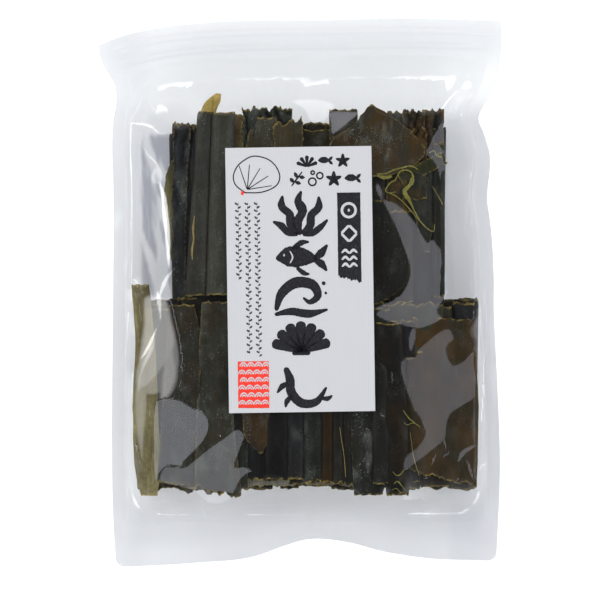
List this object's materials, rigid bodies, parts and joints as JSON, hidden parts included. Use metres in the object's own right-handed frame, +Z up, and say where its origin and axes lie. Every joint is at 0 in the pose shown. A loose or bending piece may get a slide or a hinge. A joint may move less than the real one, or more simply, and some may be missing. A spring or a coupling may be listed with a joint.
{
  "type": "clear pouch of dried kelp",
  "caption": "Clear zip pouch packed with folded, cut dried kelp, lying on its back with a tall paper label on the front.",
  "frame": {"origin": "middle of the pouch, at the surface it lies on", "axes": "+Y along the pouch, from the bottom weld to the zip; +Z up, out of the labelled front"},
  "size_m": [0.2014, 0.2737, 0.034],
  "materials": {
    "film": "gloss",
    "paper": "matte laid paper"
  },
  "bodies": {
    "root": {"bag": "film", "label": "paper"}
  },
  "joints": []
}
